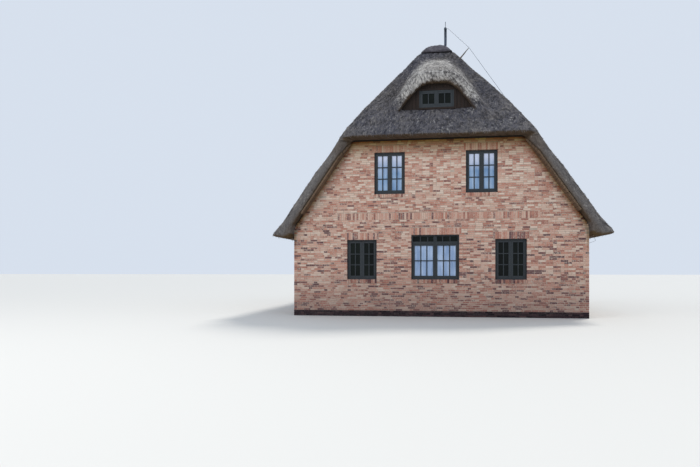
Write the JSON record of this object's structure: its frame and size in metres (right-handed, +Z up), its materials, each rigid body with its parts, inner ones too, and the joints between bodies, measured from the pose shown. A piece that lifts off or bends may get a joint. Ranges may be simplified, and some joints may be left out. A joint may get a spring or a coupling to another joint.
{
  "type": "thatched cottage",
  "caption": "Brick cottage with a steep half-hipped thatched roof, an eyebrow dormer in the front hip, casement windows with bars, a turf ridge cap and a lightning mast.",
  "frame": {"origin": "on the ground under the middle of the house, at the underside of the ground floor", "axes": "+Z up, +Y along the ridge from the front gable with the eyebrow dormer to the back gable, +X to the right seen from the front"},
  "size_m": [11.4293, 14.914, 11.3],
  "materials": {
    "brick": "matte",
    "plinth_brick": "matte",
    "concrete": "matte",
    "floor_boards": "matte",
    "roof_boards": "matte",
    "eyebrow_boards": "matte",
    "thatch": "matte",
    "ridge_cap": "matte",
    "window_frame": "satin",
    "window_glass": "gloss",
    "door": "satin",
    "handle": "satin",
    "step_stone": "matte",
    "lightning_metal": "matte",
    "wire_post": "matte"
  },
  "bodies": {
    "root": {"plinth": "plinth_brick", "ground_floor": "concrete", "upper_floor": "floor_boards", "attic_floor": "floor_boards", "front_gable_wall": "brick", "back_gable_wall": "brick", "left_wall": "brick", "right_wall": "brick", "left_thatch": "thatch", "left_roof_boards": "roof_boards", "right_thatch": "thatch", "right_roof_boards": "roof_boards", "front_hip_thatch": "thatch", "front_hip_boards": "roof_boards", "back_hip_thatch": "thatch", "back_hip_boards": "roof_boards", "eyebrow_thatch": "thatch", "eyebrow_face": "eyebrow_boards", "ridge_cap": "ridge_cap", "front_lower_left_frame": "window_frame", "front_lower_left_glass": "window_glass", "front_lower_middle_frame": "window_frame", "front_lower_middle_glass": "window_glass", "front_lower_right_frame": "window_frame", "front_lower_right_glass": "window_glass", "front_upper_left_frame": "window_frame", "front_upper_left_glass": "window_glass", "front_upper_right_frame": "window_frame", "front_upper_right_glass": "window_glass", "back_lower_left_frame": "window_frame", "back_lower_left_glass": "window_glass", "back_lower_middle_frame": "window_frame", "back_lower_middle_glass": "window_glass", "back_lower_right_frame": "window_frame", "back_lower_right_glass": "window_glass", "back_upper_left_frame": "window_frame", "back_upper_left_glass": "window_glass", "back_upper_right_frame": "window_frame", "back_upper_right_glass": "window_glass", "left_lower_front_frame": "window_frame", "left_lower_front_glass": "window_glass", "left_lower_back_frame": "window_frame", "left_lower_back_glass": "window_glass", "right_lower_back_frame": "window_frame", "right_lower_back_glass": "window_glass", "eyebrow_window_frame": "window_frame", "eyebrow_window_glass": "window_glass", "door_frame": "window_frame", "door_leaf": "door", "door_handle": "handle", "door_step": "step_stone", "lightning_mast": "lightning_metal", "wire_post_upper": "wire_post", "wire_post_lower": "wire_post", "lightning_wire": "lightning_metal"}
  },
  "joints": []
}
